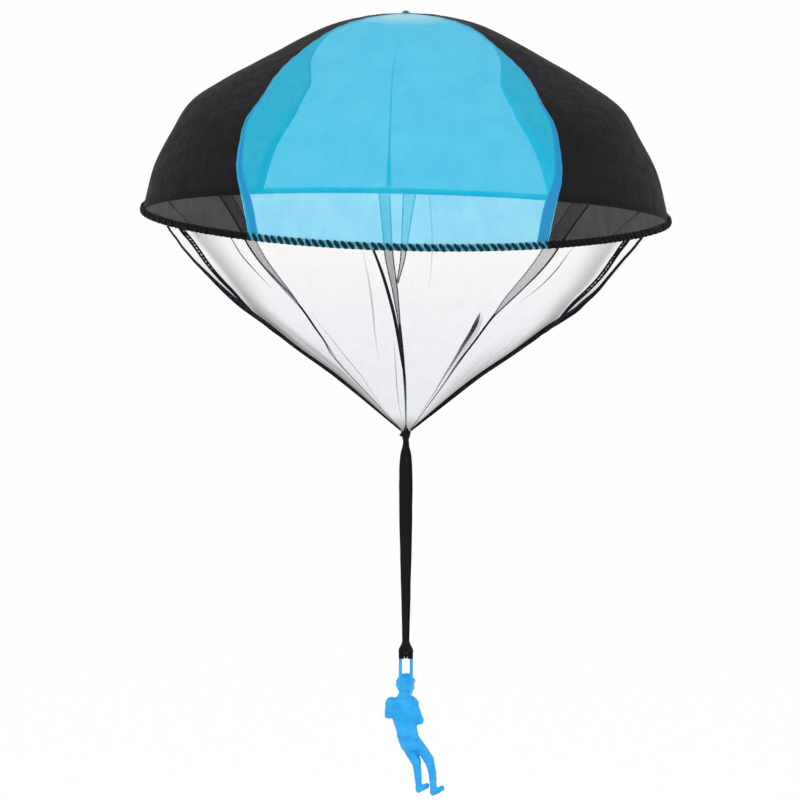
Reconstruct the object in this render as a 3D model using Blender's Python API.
"""A toy parachute: four cloth gores, a hem, a net skirt, a knot, a doubled strap and a moulded figure.

The part hangs from its crown stitch. The origin is the top of that stitch, +Z is up and the front is -Y.
Azimuths run from the front towards +X. Every length below is in metres.
"""

import math

import bmesh
import bpy
from mathutils import Vector

MM = 0.001

# Clearances
FIT_GAP = 0.3 * MM
NET_CLEARANCE = 0.5 * MM

# Canopy
MOUTH_RADIUS = 176.5 * MM
CANOPY_HEIGHT = 137.0 * MM
CLOTH_WALL = 0.5 * MM
RIM_DIP = 1.4 * MM
RIM_TILT = 4.2 * MM
SEAM_DRAW_IN = 1.6 * MM
SEAM_DRAW_ANGLE = math.radians(22.5)
# From the crown to the rim: share of the rim's radius, share of the canopy's height.
PROFILE_SHARES = (
    (0.0, 0.0),
    (0.15, 0.02),
    (0.31, 0.077),
    (0.52, 0.216),
    (0.7, 0.345),
    (0.82, 0.457),
    (0.885, 0.592),
    (0.957, 0.775),
    (1.0, 1.0),
)
# Share of the rim's radius, share of a quarter turn between a blue gore's middle and its seam.
FRONT_SEAM_SHARES = (
    (0.0, 0.9),
    (0.15, 0.85),
    (0.35, 0.715),
    (0.55, 0.625),
    (0.72, 0.53),
    (0.84, 0.5),
    (0.93, 0.458),
    (1.0, 0.389),
)
BACK_SEAM_SHARES = (
    (0.0, 0.68),
    (0.25, 0.62),
    (0.45, 0.5),
    (0.62, 0.4),
    (0.8, 0.305),
    (0.88, 0.318),
    (1.0, 0.375),
)
FRONT_GORE_TURN = math.radians(-2.0)
BACK_GORE_TURN = math.radians(180.0)
PROFILE_STEPS = 160
GORE_ROWS = 15
GORE_COLUMN_ANGLE = math.radians(4.8)

# Seam allowance
ALLOWANCE_WIDTH = 7.0 * MM
ALLOWANCE_WALL = 0.4 * MM
ALLOWANCE_GAP = 0.45 * MM
# Share of the way from the crown to the rim, share of the full width.
ALLOWANCE_WIDTH_SHARES = ((0.0, 0.25), (0.5, 0.25), (0.74, 1.0), (1.0, 1.0))

# Crown stitch
STITCH_HEIGHT = 1.3 * MM
STITCH_RADIUS = 2.0 * MM
STITCH_STEM_RADIUS = 1.0 * MM
STITCH_TAIL = 1.2 * MM
# Share of the stitch's radius, then share of its height over the cloth or of its tail below it.
STITCH_TOP_SHARES = ((0.5, 0.0), (0.88, 0.3), (1.0, 0.65), (0.85, 1.0))
STITCH_TAIL_SHARES = ((0.6, 0.7), (0.3, 1.0))
STITCH_SHOULDER_SHARE = 0.7

# Hem
HEM_HEIGHT = 3.4 * MM
HEM_WALL = 1.1 * MM
HEM_LIP = 0.8 * MM

# Net skirt
NET_DEPTH = 146.0 * MM
NET_WALL = 0.5 * MM
NET_LAP = 3.6 * MM
NET_NECK_RADIUS = 2.1 * MM
# Share of the depth from the rim to the knot, share of the net's radius at the rim.
NET_SHARES = (
    (0.0, 1.0),
    (0.12, 0.888),
    (0.3, 0.745),
    (0.42, 0.635),
    (0.52, 0.52),
    (0.62, 0.41),
    (0.75, 0.255),
    (1.0, 0.0),
)
NET_SEAM_AZIMUTHS = tuple(math.radians(degrees) for degrees in (-58.5, 55.0, 138.0, 224.5))
NET_FOLD_AZIMUTHS = tuple(math.radians(degrees) for degrees in (-38.0, -5.0, 36.0, 122.0, 181.0, 245.0))
NET_FOLD_DEPTH = 5.5 * MM
NET_FOLD_HALF_ANGLE = math.radians(7.0)
NET_ROWS = 9
NET_COLUMN_ANGLE = math.radians(5.4)

# Net seams
NET_SEAM_RADIUS = 0.9 * MM
NET_SEAM_END_SHARE = 0.5
NET_SEAM_SPAN_SHARES = (0.035, 0.985)
NET_SEAM_RINGS = 10

# Knot
KNOT_WIDTH = 6.6 * MM
KNOT_DEPTH = 6.0 * MM
KNOT_HEIGHT = 5.4 * MM
KNOT_RIDGE = 0.35 * MM
KNOT_RIDGES = 5
KNOT_EAR_LENGTH = 2.2 * MM
KNOT_EAR_RADIUS = 0.9 * MM
KNOT_EAR_TIP_SHARE = 0.7

# Strap
STRAP_DROP = 147.6 * MM
STRAP_WIDTH = 8.8 * MM
STRAP_LEG_DEPTH = 1.7 * MM
STRAP_NECK_RADIUS = 1.5 * MM
# Share of the strap's length from its neck down, share of its full width.
STRAP_WIDTH_SHARES = (
    (0.0, 0.2),
    (0.015, 0.36),
    (0.07, 0.82),
    (0.16, 1.0),
    (0.32, 0.99),
    (0.5, 0.91),
    (0.66, 0.79),
    (0.83, 0.67),
    (1.0, 0.54),
)
STRAP_LEG_SPAN_SHARES = {"strap_front_leg": (-0.5, 0.22), "strap_back_leg": (-0.14, 0.5)}
# Depth of a leg at its top, and the share of the length in which it grows to the full depth.
STRAP_TOP_DEPTH_SHARE = 0.8
STRAP_GROWTH_SHARE = 0.05
STRAP_EASE_SHARE = 0.5
STRAP_RINGS = 18

# Hitch on the figure's loop
THROAT_HEIGHT = 9.4 * MM
THROAT_WIDTH = 8.3 * MM
THROAT_DEPTH = 4.4 * MM
THROAT_WEB_WIDTH = 1.9 * MM
THROAT_WEB_RADIUS = 2.4 * MM
# Share of the throat's height over the bar, share of its flare from the strap's end to its full size.
THROAT_FLARE_SHARES = ((1.0, 0.0), (0.72, 0.24), (0.5, 0.76), (0.34, 1.0), (-0.1, 1.0))
TURN_RADIUS = 2.8 * MM
TURN_NOTCH_RADIUS = 2.0 * MM
TURN_OUTER_REACH = 4.8 * MM

# Figure's hanging loop
LOOP_ROD = 2.2 * MM
LOOP_INNER_WIDTH = 5.1 * MM
LOOP_CORNER = 1.3 * MM
LOOP_HEIGHT = 12.4 * MM

# Figure
FIGURE_HEIGHT = 82.5 * MM
FIGURE_LEAN = 1.2 * MM
# All of these are shares of the figure's height. A centre is given across, towards the chest and up from
# the helmet's top. An oval has its half sizes the same way round.
HELMET_SHARES = ((-0.002, 0.004, -0.088), (0.074, 0.078, 0.09))
FACE_ROOM_SHARES = ((0.058, 0.05, -0.125), (0.05, 0.05, 0.055))
HEAD_SHARES = ((0.0, 0.006, -0.094), (0.065, 0.068, 0.078))
# Centre, then half width and half depth.
TORSO_SHARES = (
    (-0.008, 0.0, -0.15, 0.046, 0.044),
    (-0.014, 0.0, -0.2, 0.062, 0.048),
    (-0.03, 0.0, -0.235, 0.115, 0.052),
    (-0.028, 0.004, -0.3, 0.112, 0.062),
    (-0.012, 0.006, -0.39, 0.098, 0.058),
    (0.002, 0.002, -0.48, 0.084, 0.05),
    (0.024, -0.002, -0.56, 0.092, 0.054),
    (0.05, -0.002, -0.62, 0.086, 0.05),
)
BELT_SHARES = ((0.004, 0.002, -0.486, 0.092, 0.057), (0.01, 0.001, -0.513, 0.094, 0.058))
# Centre, then half thickness.
LIMB_SHARES = {
    "left_upper_arm": (
        (-0.118, 0.0, -0.238, 0.04),
        (-0.138, -0.006, -0.29, 0.036),
        (-0.146, 0.0, -0.335, 0.032),
    ),
    "left_forearm": ((-0.146, 0.0, -0.335, 0.031), (-0.11, 0.05, -0.32, 0.028), (-0.06, 0.082, -0.29, 0.026)),
    "right_upper_arm": (
        (0.048, 0.0, -0.24, 0.04),
        (0.08, -0.006, -0.31, 0.035),
        (0.106, 0.0, -0.385, 0.031),
    ),
    "right_forearm": ((0.106, 0.0, -0.385, 0.03), (0.072, 0.054, -0.35, 0.028), (0.022, 0.082, -0.3, 0.026)),
    "left_leg": (
        (0.008, 0.004, -0.59, 0.054),
        (0.042, 0.006, -0.665, 0.046),
        (0.076, 0.006, -0.735, 0.034),
        (0.084, 0.0, -0.81, 0.031),
        (0.093, -0.004, -0.935, 0.025),
    ),
    "left_boot": ((0.09, -0.004, -0.95, 0.024), (0.125, 0.0, -0.937, 0.024), (0.158, 0.004, -0.915, 0.017)),
    "left_sole": ((0.086, -0.004, -0.963, 0.017), (0.163, 0.004, -0.928, 0.014)),
    "right_leg": (
        (0.084, -0.006, -0.585, 0.052),
        (0.138, -0.008, -0.645, 0.044),
        (0.182, -0.008, -0.72, 0.036),
        (0.203, -0.012, -0.81, 0.032),
        (0.212, -0.016, -0.955, 0.026),
    ),
    "right_boot": (
        (0.206, -0.016, -0.974, 0.025),
        (0.245, -0.012, -0.96, 0.024),
        (0.281, -0.008, -0.935, 0.018),
    ),
    "right_sole": ((0.204, -0.016, -0.983, 0.017), (0.286, -0.008, -0.946, 0.014)),
}
# Rounded forms that the body and limbs run into.
SWELL_SHARES = {
    "left_ear_cup": ((-0.052, 0.046, -0.105), (0.024, 0.024, 0.033)),
    "right_ear_cup": ((0.034, -0.052, -0.105), (0.024, 0.024, 0.033)),
    "left_shoulder": ((-0.12, 0.0, -0.243), (0.047, 0.047, 0.047)),
    "right_shoulder": ((0.05, 0.0, -0.243), (0.046, 0.046, 0.046)),
    "left_fist": ((-0.052, 0.09, -0.286), (0.032, 0.026, 0.036)),
    "right_fist": ((0.018, 0.09, -0.296), (0.032, 0.026, 0.036)),
    "left_seat": ((0.02, -0.03, -0.59), (0.045, 0.045, 0.045)),
    "right_seat": ((0.072, -0.036, -0.585), (0.045, 0.045, 0.045)),
    "left_knee": ((0.07, 0.012, -0.715), (0.037, 0.037, 0.037)),
    "right_knee": ((0.176, 0.0, -0.7), (0.038, 0.038, 0.038)),
}
LIMB_SIDES = 9

# Sections
ROUND_SIDES = 10
SWELL_SIDES = 12
TURNED_SIDES = 20
# How far a rounded end's rings reach past it, and how wide they are, as shares of its radius.
CAP_SHARES = ((0.38, 0.92), (0.75, 0.66))
CORNER_STEPS = 4
SMOOTH_ANGLE = math.radians(40.0)
TANGENT_STEP_SHARE = 0.001
CUT_OVERRUN = 1.0 * MM

# Places worked out from the sizes above
GORE_RIM_RADIUS = MOUTH_RADIUS - HEM_WALL - FIT_GAP
CLOTH_CROWN_Z = -(STITCH_HEIGHT + FIT_GAP)
NET_RIM_RADIUS = GORE_RIM_RADIUS - CLOTH_WALL - NET_CLEARANCE
RIM_Z = CLOTH_CROWN_Z - CANOPY_HEIGHT
KNOT_Z = RIM_Z - NET_DEPTH
NET_END_Z = KNOT_Z + KNOT_HEIGHT / 2 + FIT_GAP
NECK_Z = KNOT_Z - KNOT_HEIGHT / 2 - FIT_GAP - STRAP_NECK_RADIUS
BAR_Z = KNOT_Z - STRAP_DROP
STRAP_END_Z = BAR_Z + THROAT_HEIGHT + FIT_GAP
HELMET_TOP_Z = BAR_Z - LOOP_HEIGHT
LOOP_HALF_WIDTH = (LOOP_INNER_WIDTH + LOOP_ROD) / 2

# Finishes: colour, roughness
BLACK = (0.014, 0.014, 0.016)
TEAL = (0.02, 0.16, 0.24)
FINISHES = {
    "blue_cloth": ((0.05, 0.47, 0.83), 0.6),
    "black_cloth": (BLACK, 0.6),
    "seam_cloth": ((0.03, 0.3, 0.55), 0.7),
    "thread": (TEAL, 0.7),
    "hem_blue": (TEAL, 0.8),
    "hem_black": (BLACK, 0.8),
    "net": ((0.03, 0.03, 0.035), 0.8),
    "strap_cloth": (BLACK, 0.75),
    "figure_plastic": ((0.02, 0.36, 0.86), 0.35),
}


def clear_scene():
    """Remove what the scene holds."""
    for old in list(bpy.data.objects):
        bpy.data.objects.remove(old)


def material(name):
    """Return the named Principled material, made at its first use."""
    made = bpy.data.materials.get(name)
    if made is None:
        colour, roughness = FINISHES[name]
        made = bpy.data.materials.new(name)
        made.use_nodes = True
        shader = made.node_tree.nodes["Principled BSDF"]
        shader.inputs["Base Color"].default_value = (*colour, 1.0)
        shader.inputs["Roughness"].default_value = roughness
        shader.inputs["Metallic"].default_value = 0.0
    return made


def add_object(name, points, faces, finish):
    """Link a mesh of points and faces as an object."""
    mesh = bpy.data.meshes.new(name)
    mesh.from_pydata([tuple(point) for point in points], [], faces)
    mesh.shade_smooth()
    mesh.set_sharp_from_angle(angle=SMOOTH_ANGLE)
    mesh.materials.append(material(finish))
    made = bpy.data.objects.new(name, mesh)
    bpy.context.scene.collection.objects.link(made)
    return made


def smooth_through(table, share):
    """Read a smooth curve through a table of (share, value) at one share."""
    share = min(max(share, table[0][0]), table[-1][0])
    index = max(i for i in range(len(table) - 1) if table[i][0] <= share)
    (x0, y0), (x1, y1) = table[index], table[index + 1]
    before = table[index - 1] if index > 0 else (x0, y0)
    after = table[index + 2] if index + 2 < len(table) else (x1, y1)
    slope0 = (y1 - before[1]) / (x1 - before[0])
    slope1 = (after[1] - y0) / (after[0] - x0)
    span = x1 - x0
    t = (share - x0) / span
    return (
        y0 * (2 * t**3 - 3 * t**2 + 1)
        + span * slope0 * (t**3 - 2 * t**2 + t)
        + y1 * (3 * t**2 - 2 * t**3)
        + span * slope1 * (t**3 - t**2)
    )


def even_shares(count):
    """Return count + 1 shares from 0 to 1."""
    return [i / count for i in range(count + 1)]


def profile_curve():
    """Sample the canopy's profile as (share of its length, radius, drop)."""
    table = [(i / (len(PROFILE_SHARES) - 1), *pair) for i, pair in enumerate(PROFILE_SHARES)]
    samples = []
    length = 0.0
    for t in even_shares(PROFILE_STEPS):
        radius = GORE_RIM_RADIUS * smooth_through([(a, r) for a, r, _ in table], t)
        drop = CANOPY_HEIGHT * smooth_through([(a, d) for a, _, d in table], t)
        if samples:
            length += math.hypot(radius - samples[-1][1], drop - samples[-1][2])
        samples.append((length, radius, drop))
    return [(at / length, radius, drop) for at, radius, drop in samples]


PROFILE = profile_curve()
PROFILE_LENGTH = sum(math.dist(a[1:], b[1:]) for a, b in zip(PROFILE, PROFILE[1:]))


def profile_at(share):
    """Return the cloth's radius and drop at a share of the way from the crown to the rim."""
    for low, high in zip(PROFILE, PROFILE[1:]):
        if share <= high[0] or high is PROFILE[-1]:
            t = (share - low[0]) / (high[0] - low[0])
            return tuple(low[k] + t * (high[k] - low[k]) for k in (1, 2))


def seam_azimuth(seam, share):
    """Return the azimuth of one of the four seams at a share of the profile's length."""
    table, middle, side = {
        "front_right": (FRONT_SEAM_SHARES, FRONT_GORE_TURN, 1),
        "back_right": (BACK_SEAM_SHARES, BACK_GORE_TURN, -1),
        "back_left": (BACK_SEAM_SHARES, BACK_GORE_TURN, 1),
        "front_left": (FRONT_SEAM_SHARES, FRONT_GORE_TURN + math.tau, -1),
    }[seam]
    reach = min(1.0, profile_at(share)[0] / GORE_RIM_RADIUS)
    return middle + side * smooth_through(table, reach) * math.pi / 2


SEAMS = ("front_right", "back_right", "back_left", "front_left")


def rim_offset(azimuth):
    """Return how far the hanging rim lies below its mean height at an azimuth."""
    return RIM_DIP * math.cos(2 * azimuth) + RIM_TILT * math.sin(azimuth)


def canopy_surface(share, azimuth):
    """Return a point of the cloth's outer face."""
    radius, drop = profile_at(share)
    nearest = min(abs(math.remainder(azimuth - seam_azimuth(seam, share), math.tau)) for seam in SEAMS)
    pull = max(0.0, 1.0 - nearest / SEAM_DRAW_ANGLE) ** 2
    radius -= SEAM_DRAW_IN * math.sin(math.pi * share) * pull * min(1.0, radius / GORE_RIM_RADIUS)
    height = CLOTH_CROWN_Z - drop * (1 + rim_offset(azimuth) / CANOPY_HEIGHT)
    return Vector((radius * math.sin(azimuth), -radius * math.cos(azimuth), height))


def canopy_point(share, azimuth, inset=0.0):
    """Return a point of the cloth, moved inwards along its normal by inset."""
    point = canopy_surface(share, azimuth)
    if inset == 0.0:
        return point
    above = max(0.0, share - TANGENT_STEP_SHARE)
    below = min(1.0, share + TANGENT_STEP_SHARE)
    along = canopy_surface(below, azimuth) - canopy_surface(above, azimuth)
    around = Vector((math.cos(azimuth), math.sin(azimuth), 0.0))
    return point - inset * along.cross(around).normalized()


def sheet_solid(name, rows, wall, finish):
    """Close a grid of outer points into a sheet whose wall lies inside it."""
    width = len(rows[0])
    points = [point for row in rows for point in row]
    faces = [
        (i * width + j, (i + 1) * width + j, (i + 1) * width + j + 1, i * width + j + 1)
        for i in range(len(rows) - 1)
        for j in range(width - 1)
    ]
    sheet = add_object(name, points, faces, finish)
    solidify = sheet.modifiers.new("wall", "SOLIDIFY")
    solidify.thickness = wall
    solidify.offset = -1.0
    return sheet


def tube_solid(name, rings, finish):
    """Close a row of rings, each the same number of points, into a solid."""
    count = len(rings[0])
    points = [point for ring in rings for point in ring]
    last = (len(rings) - 1) * count
    faces = [tuple(reversed(range(count))), tuple(last + j for j in range(count))]
    for i in range(len(rings) - 1):
        for j in range(count):
            k = (j + 1) % count
            faces.append((i * count + j, i * count + k, (i + 1) * count + k, (i + 1) * count + j))
    made = add_object(name, points, faces, finish)
    face_outwards(made)
    return made


def face_outwards(made):
    """Turn every face of a closed mesh outwards."""
    shape = bmesh.new()
    shape.from_mesh(made.data)
    bmesh.ops.recalc_face_normals(shape, faces=shape.faces)
    shape.to_mesh(made.data)
    shape.free()


def ring_about(centre, tangent, half_width, half_depth, sides):
    """Return an elliptic ring across a path, its depth measured nearest to Y."""
    side = Vector((0.0, 1.0, 0.0)).cross(tangent).normalized()
    deep = tangent.cross(side).normalized()
    return [
        centre
        + side * half_width * math.cos(math.tau * i / sides)
        + deep * half_depth * math.sin(math.tau * i / sides)
        for i in range(sides)
    ]


def cutter(made):
    """Mark an object as a helper that a Boolean uses."""
    made.hide_render = True
    made.display_type = "WIRE"
    return made


def combine(made, other, operation, solver="EXACT"):
    """Add a Boolean with a helper object."""
    boolean = made.modifiers.new(operation.lower(), "BOOLEAN")
    boolean.operation = operation
    boolean.solver = solver
    boolean.object = cutter(other)


def gore_row_shares():
    """Return the shares of the profile at which the cloth has its rows."""
    crown = next(at for at, radius, _ in PROFILE if radius >= STITCH_STEM_RADIUS + FIT_GAP)
    return [crown + (1 - crown) * step for step in even_shares(GORE_ROWS)]


def build_gores():
    """Four cloth gores between the seams, from the crown stitch to the rim."""
    gores = {
        "gore_right_black": ("front_right", "back_right"),
        "gore_back_blue": ("back_right", "back_left"),
        "gore_left_black": ("back_left", "front_left"),
        "gore_front_blue": ("front_left", "front_right"),
    }
    for name, (first, last) in gores.items():
        turn = math.tau if first == "front_left" else 0.0
        span = seam_azimuth(last, 1.0) + turn - seam_azimuth(first, 1.0)
        columns = round(span / GORE_COLUMN_ANGLE)
        rows = []
        for share in gore_row_shares():
            trim = FIT_GAP / 2 / profile_at(share)[0]
            start = seam_azimuth(first, share) + trim
            end = seam_azimuth(last, share) + turn - trim
            rows.append([canopy_point(share, start + (end - start) * t) for t in even_shares(columns)])
        sheet_solid(name, rows, CLOTH_WALL, name.rsplit("_", 1)[1] + "_cloth")


def build_seam_allowances():
    """The turned-in edges beside each seam: behind the front gore, and behind the side gores at the back."""
    inset = CLOTH_WALL + ALLOWANCE_GAP
    end_share = 1 - (NET_LAP + NET_WALL + FIT_GAP) / PROFILE_LENGTH
    shares = [*gore_row_shares()[1:-1], end_share]
    for seam in SEAMS:
        side = 1 if seam.endswith("left") else -1
        rows = []
        for share in shares:
            radius = profile_at(share)[0]
            width = ALLOWANCE_WIDTH * smooth_through(ALLOWANCE_WIDTH_SHARES, share)
            edges = [seam_azimuth(seam, share) + side * away / radius for away in (FIT_GAP, width / 2, width)]
            rows.append([canopy_point(share, azimuth, inset) for azimuth in sorted(edges)])
        sheet_solid("seam_allowance_" + seam, rows, ALLOWANCE_WALL, "seam_cloth")


def build_crown_stitch():
    """The thread knot that holds the four gore points, with its tail inside."""
    inside = CLOTH_CROWN_Z - CLOTH_WALL - FIT_GAP
    outline = [(STITCH_RADIUS * wide, -STITCH_HEIGHT * down) for wide, down in STITCH_TOP_SHARES]
    outline += [
        (STITCH_STEM_RADIUS, -STITCH_HEIGHT),
        (STITCH_STEM_RADIUS, inside - FIT_GAP),
        (STITCH_RADIUS * STITCH_SHOULDER_SHARE, inside - FIT_GAP),
    ]
    outline += [(STITCH_RADIUS * wide, inside - STITCH_TAIL * down) for wide, down in STITCH_TAIL_SHARES]
    down = Vector((0.0, 0.0, -1.0))
    rings = [ring_about(Vector((0.0, 0.0, z)), down, radius, radius, TURNED_SIDES) for radius, z in outline]
    tube_solid("crown_stitch", rings, "thread")


def build_hem():
    """Four arcs of folded, overlocked edge that lap over the gores' rims."""
    lip_low = -(FIT_GAP + HEM_LIP)
    outer = FIT_GAP + HEM_WALL
    section = (
        (-CLOTH_WALL, lip_low),
        (outer - HEM_WALL / 3, lip_low),
        (outer, lip_low / 2),
        (outer, HEM_HEIGHT - HEM_WALL / 2),
        (FIT_GAP + HEM_WALL / 3, HEM_HEIGHT),
        (FIT_GAP, HEM_HEIGHT),
        (FIT_GAP, -FIT_GAP),
        (-CLOTH_WALL, -FIT_GAP),
    )
    arcs = {
        "hem_right": ("front_right", "back_right", "hem_black"),
        "hem_back": ("back_right", "back_left", "hem_blue"),
        "hem_left": ("back_left", "front_left", "hem_black"),
        "hem_front": ("front_left", "front_right", "hem_blue"),
    }
    trim = FIT_GAP / 2 / GORE_RIM_RADIUS
    for name, (first, last, finish) in arcs.items():
        start = seam_azimuth(first, 1.0) + trim
        end = seam_azimuth(last, 1.0) - trim + (math.tau if first == "front_left" else 0.0)
        columns = round((end - start) / GORE_COLUMN_ANGLE)
        rings = []
        for t in even_shares(columns):
            azimuth = start + (end - start) * t
            ring = []
            for out, up in section:
                base = canopy_point(1 - max(up, 0.0) / PROFILE_LENGTH, azimuth, -out)
                ring.append(base + Vector((0.0, 0.0, min(up, 0.0))))
            rings.append(ring)
        tube_solid(name, rings, finish)


def net_fold(azimuth):
    """Return the share of the fold depth that the net has at an azimuth."""
    turns = (math.remainder(azimuth - fold, math.tau) / NET_FOLD_HALF_ANGLE for fold in NET_FOLD_AZIMUTHS)
    return max(math.exp(-turn * turn) for turn in turns)


def net_point(share, azimuth):
    """Return a point of the net's outer face between the rim and the knot."""
    spread = smooth_through(NET_SHARES, share)
    radius = NET_NECK_RADIUS + (NET_RIM_RADIUS - NET_NECK_RADIUS) * spread
    radius -= NET_FOLD_DEPTH * net_fold(azimuth) * math.sin(math.pi * share) ** 1.5
    rim = RIM_Z - rim_offset(azimuth)
    height = rim + (NET_END_Z - rim) * share
    return Vector((radius * math.sin(azimuth), -radius * math.cos(azimuth), height))


def build_net():
    """Four net panels, sewn inside the hem and gathered to the knot, and the seams between them."""
    inset = CLOTH_WALL + NET_CLEARANCE
    names = ("net_right", "net_back", "net_left", "net_front")
    for index, name in enumerate(names):
        first = NET_SEAM_AZIMUTHS[(index + 1) % 4]
        last = NET_SEAM_AZIMUTHS[(index + 2) % 4]
        if last < first:
            last += math.tau
        columns = round((last - first) / NET_COLUMN_ANGLE)
        rows = []
        for step in range(-1, NET_ROWS + 1):
            share = max(0.0, step / NET_ROWS)
            radius = NET_NECK_RADIUS + NET_RIM_RADIUS * smooth_through(NET_SHARES, share)
            trim = FIT_GAP / 2 / radius
            row = []
            for t in even_shares(columns):
                azimuth = first + trim + (last - first - 2 * trim) * t
                if step < 0:
                    row.append(canopy_point(1 - NET_LAP / PROFILE_LENGTH, azimuth, inset))
                elif step == 0:
                    row.append(canopy_point(1.0, azimuth, inset))
                else:
                    row.append(net_point(share, azimuth))
            rows.append(row)
        sheet_solid(name, rows, NET_WALL, "net")
    for azimuth, seam in zip(NET_SEAM_AZIMUTHS, ("front_left", "front_right", "back_right", "back_left")):
        build_net_seam("net_seam_" + seam, azimuth)


def build_net_seam(name, azimuth):
    """One rolled seam that lies on the net from under the hem to the knot."""
    begin, end = NET_SEAM_SPAN_SHARES
    rings = []
    for t in even_shares(NET_SEAM_RINGS):
        share = begin + (end - begin) * t
        radius = NET_SEAM_RADIUS * (1 - (1 - NET_SEAM_END_SHARE) * t)
        above = net_point(share - TANGENT_STEP_SHARE, azimuth)
        below = net_point(share + TANGENT_STEP_SHARE, azimuth)
        tangent = (below - above).normalized()
        around = Vector((math.cos(azimuth), math.sin(azimuth), 0.0))
        outward = around.cross(tangent).normalized()
        if outward.z > 0:
            outward.negate()
        centre = net_point(share, azimuth) + outward * (FIT_GAP + radius)
        rings.append(
            [
                centre
                + around * radius * math.cos(math.tau * i / ROUND_SIDES)
                + outward * radius * math.sin(math.tau * i / ROUND_SIDES)
                for i in range(ROUND_SIDES)
            ]
        )
    tube_solid(name, rings, "net")


def build_knot():
    """The wound knot under the net, with one ear of cloth standing out of it."""
    rings = []
    count = TURNED_SIDES
    for i in range(1, ROUND_SIDES):
        polar = math.pi * i / ROUND_SIDES
        ring = []
        for j in range(count):
            turn = math.tau * j / count
            ridge = KNOT_RIDGE * math.cos(KNOT_RIDGES * turn + 2 * polar) * math.sin(polar)
            ring.append(
                Vector(
                    (
                        (KNOT_WIDTH / 2 - KNOT_RIDGE + ridge) * math.sin(polar) * math.cos(turn),
                        (KNOT_DEPTH / 2 - KNOT_RIDGE + ridge) * math.sin(polar) * math.sin(turn),
                        KNOT_Z + KNOT_HEIGHT / 2 * math.cos(polar),
                    )
                )
            )
        rings.append(ring)
    knot = tube_solid("knot", rings, "strap_cloth")
    root = Vector((-KNOT_WIDTH / 4, 0.0, KNOT_Z))
    tip = root + Vector((-KNOT_WIDTH / 4 - KNOT_EAR_LENGTH / 2, 0.0, KNOT_EAR_RADIUS / 2))
    stations = [(root, KNOT_EAR_RADIUS), (tip, KNOT_EAR_RADIUS * KNOT_EAR_TIP_SHARE)]
    ear = limb("knot_ear", stations, "strap_cloth")
    combine(knot, ear, "UNION")


def limb(name, stations, finish):
    """A round bar through (point, half thickness) stations, with rounded ends."""
    centres = [point for point, _ in stations]
    radii = [radius for _, radius in stations]
    tangents = []
    for i in range(len(centres)):
        ahead = centres[min(i + 1, len(centres) - 1)]
        behind = centres[max(i - 1, 0)]
        tangents.append((ahead - behind).normalized())
    places = list(zip(centres, tangents, radii))
    for reach, narrow in CAP_SHARES:
        first = (centres[0] - tangents[0] * radii[0] * reach, tangents[0], radii[0] * narrow)
        last = (centres[-1] + tangents[-1] * radii[-1] * reach, tangents[-1], radii[-1] * narrow)
        places = [first, *places, last]
    rings = [ring_about(centre, tangent, radius, radius, LIMB_SIDES) for centre, tangent, radius in places]
    return tube_solid(name, rings, finish)


def build_strap():
    """The two legs of the doubled strap, face to face, from the neck to the hitch."""
    top = NECK_Z + STRAP_NECK_RADIUS
    for name, (left_share, right_share) in STRAP_LEG_SPAN_SHARES.items():
        facing = -1 if name == "strap_front_leg" else 1
        rings = []
        for t in even_shares(STRAP_RINGS):
            share = STRAP_EASE_SHARE * t * t * (3 - 2 * t) + (1 - STRAP_EASE_SHARE) * t
            width = STRAP_WIDTH * smooth_through(STRAP_WIDTH_SHARES, share)
            middle = width * (left_share + right_share) / 2
            half = width * (right_share - left_share) / 2
            grown = min(1.0, share / STRAP_GROWTH_SHARE)
            depth = STRAP_LEG_DEPTH * (STRAP_TOP_DEPTH_SHARE + (1 - STRAP_TOP_DEPTH_SHARE) * grown)
            height = top + (STRAP_END_Z - top) * share
            ring = []
            for i in range(LIMB_SIDES):
                turn = math.pi * i / (LIMB_SIDES - 1)
                out = FIT_GAP / 2 + depth * math.sin(turn)
                ring.append(Vector((middle + half * math.cos(turn), facing * out, height)))
            rings.append(ring)
        tube_solid(name, rings, "strap_cloth")


def loop_path():
    """Centre points of the hanging loop's rod, from the left foot over the bar to the right foot."""
    foot = HELMET_TOP_Z - FIGURE_HEIGHT * HELMET_SHARES[1][2] / 2
    path = [Vector((-LOOP_HALF_WIDTH, 0.0, foot))]
    for side, start in ((-1, math.pi), (1, math.pi / 2)):
        centre = Vector((side * (LOOP_HALF_WIDTH - LOOP_CORNER), 0.0, BAR_Z - LOOP_CORNER))
        for i in range(CORNER_STEPS + 1):
            turn = start - math.pi / 2 * i / CORNER_STEPS
            path.append(centre + LOOP_CORNER * Vector((math.cos(turn), 0.0, math.sin(turn))))
    path.append(Vector((LOOP_HALF_WIDTH, 0.0, foot)))
    return path


def loop_rod(name, radius):
    """The loop's round rod, or a thicker copy that cuts the room for it."""
    path = loop_path()
    rings = []
    for i, centre in enumerate(path):
        tangent = (path[min(i + 1, len(path) - 1)] - path[max(i - 1, 0)]).normalized()
        rings.append(ring_about(centre, tangent, radius, radius, ROUND_SIDES))
    return tube_solid(name, rings, "figure_plastic")


def turned_on_bar(name, outline):
    """A solid turned about the loop's bar from (place along X, radius) pairs."""
    rings = [
        [
            Vector(
                (
                    along,
                    radius * math.cos(math.tau * i / TURNED_SIDES),
                    BAR_Z + radius * math.sin(math.tau * i / TURNED_SIDES),
                )
            )
            for i in range(TURNED_SIDES)
        ]
        for along, radius in outline
    ]
    return tube_solid(name, rings, "strap_cloth")


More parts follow.
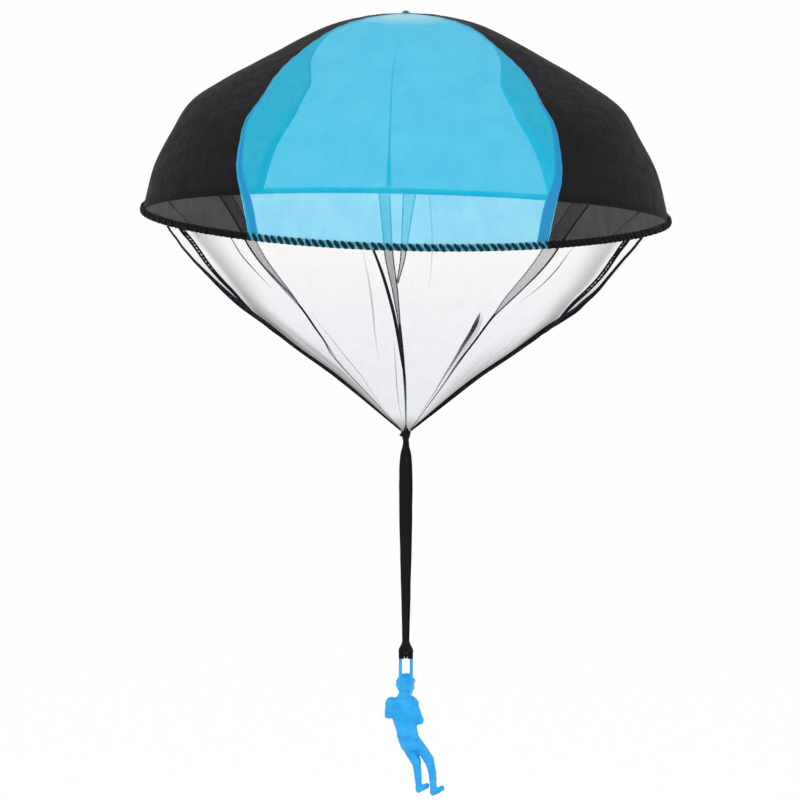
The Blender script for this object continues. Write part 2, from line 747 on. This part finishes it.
def build_hitch():
    """The strap's end on the loop: the throat that turns with the strap, and the two turns on the bar."""
    end_width = STRAP_WIDTH * STRAP_WIDTH_SHARES[-1][1]
    end_depth = 2 * STRAP_LEG_DEPTH
    rings = []
    for up, flare in THROAT_FLARE_SHARES:
        half_width = (end_width + (THROAT_WIDTH - end_width) * flare) / 2
        half_depth = (end_depth + (THROAT_DEPTH - end_depth) * flare) / 2
        centre = Vector((0.0, 0.0, BAR_Z + THROAT_HEIGHT * up))
        rings.append(ring_about(centre, Vector((0.0, 0.0, -1.0)), half_width, half_depth, TURNED_SIDES))
    throat = tube_solid("strap_throat", rings, "strap_cloth")
    web = THROAT_WEB_WIDTH / 2
    wrap = turned_on_bar("throat_wrap", ((-web, THROAT_WEB_RADIUS), (web, THROAT_WEB_RADIUS)))
    combine(throat, wrap, "UNION")
    clear = TURN_RADIUS + FIT_GAP
    far = THROAT_WIDTH / 2 + CUT_OVERRUN
    for side, name in ((-1, "left_turn_room"), (1, "right_turn_room")):
        room = turned_on_bar(name, ((side * web, clear), (side * far, clear)))
        combine(throat, room, "DIFFERENCE")
    bore = LOOP_ROD / 2 + FIT_GAP
    combine(throat, turned_on_bar("throat_bore", ((-far, bore), (far, bore))), "DIFFERENCE")

    inner = web + FIT_GAP
    full = inner + TURN_RADIUS - TURN_NOTCH_RADIUS
    rounding = (TURN_RADIUS - LOOP_ROD / 2) / 3
    outline = (
        (inner, TURN_NOTCH_RADIUS),
        (full, TURN_RADIUS),
        (TURN_OUTER_REACH - rounding, TURN_RADIUS),
        (TURN_OUTER_REACH, TURN_RADIUS - rounding),
    )
    for side, name in ((-1, "hitch_turn_left"), (1, "hitch_turn_right")):
        turn = turned_on_bar(name, [(side * along, radius) for along, radius in outline])
        combine(turn, loop_rod(name + "_room", LOOP_ROD / 2 + FIT_GAP), "DIFFERENCE")


def figure_place(shares):
    """Turn a point given in shares of the figure's height into a place."""
    across, ahead, up = shares
    lean = FIGURE_LEAN * -up
    return Vector((lean + FIGURE_HEIGHT * across, FIGURE_HEIGHT * ahead, HELMET_TOP_Z + FIGURE_HEIGHT * up))


def figure_oval(name, centre, half, sides):
    """One rounded form of the figure, from its centre and half sizes in shares of the figure's height."""
    middle = figure_place(centre)
    half_width, half_depth, half_height = (FIGURE_HEIGHT * share for share in half)
    steps = sides // 2
    rings = []
    for i in range(1, steps):
        polar = math.pi * i / steps
        place = middle + Vector((0.0, 0.0, half_height * math.cos(polar)))
        size = (half_width * math.sin(polar), half_depth * math.sin(polar))
        rings.append(ring_about(place, Vector((0.0, 0.0, -1.0)), *size, sides))
    return tube_solid(name, rings, "figure_plastic")


def figure_loft(name, rows, tangent):
    """One form of the figure through oval sections, each square to the tangent."""
    rings = []
    for *centre, half_width, half_depth in rows:
        size = (FIGURE_HEIGHT * half_width, FIGURE_HEIGHT * half_depth)
        rings.append(ring_about(figure_place(centre), tangent, *size, TURNED_SIDES))
    return tube_solid(name, rings, "figure_plastic")


def build_figure():
    """The moulded figure in one piece: torso, belt, helmeted head, limbs, boots and the hanging loop."""
    figure = figure_loft("figure", TORSO_SHARES, Vector((0.0, 0.0, -1.0)))
    helmet = figure_oval("figure_helmet", *HELMET_SHARES, TURNED_SIDES)
    combine(figure, helmet, "UNION", "MANIFOLD")
    face_room = figure_oval("figure_face_room", *FACE_ROOM_SHARES, TURNED_SIDES)
    combine(figure, face_room, "DIFFERENCE", "MANIFOLD")
    upper, lower = (figure_place(row[:3]) for row in BELT_SHARES)
    forms = [
        figure_oval("figure_head", *HEAD_SHARES, TURNED_SIDES),
        figure_loft("figure_belt", BELT_SHARES, (lower - upper).normalized()),
    ]
    for name, stations in LIMB_SHARES.items():
        points = [(figure_place(row[:3]), FIGURE_HEIGHT * row[3]) for row in stations]
        forms.append(limb("figure_" + name, points, "figure_plastic"))
    for name, (centre, half) in SWELL_SHARES.items():
        forms.append(figure_oval("figure_" + name, centre, half, SWELL_SIDES))
    forms.append(loop_rod("figure_loop", LOOP_ROD / 2))
    for form in forms:
        combine(figure, form, "UNION", "MANIFOLD")


def main():
    """Build the whole toy."""
    clear_scene()
    build_gores()
    build_seam_allowances()
    build_crown_stitch()
    build_hem()
    build_net()
    build_knot()
    build_strap()
    build_hitch()
    build_figure()


main()
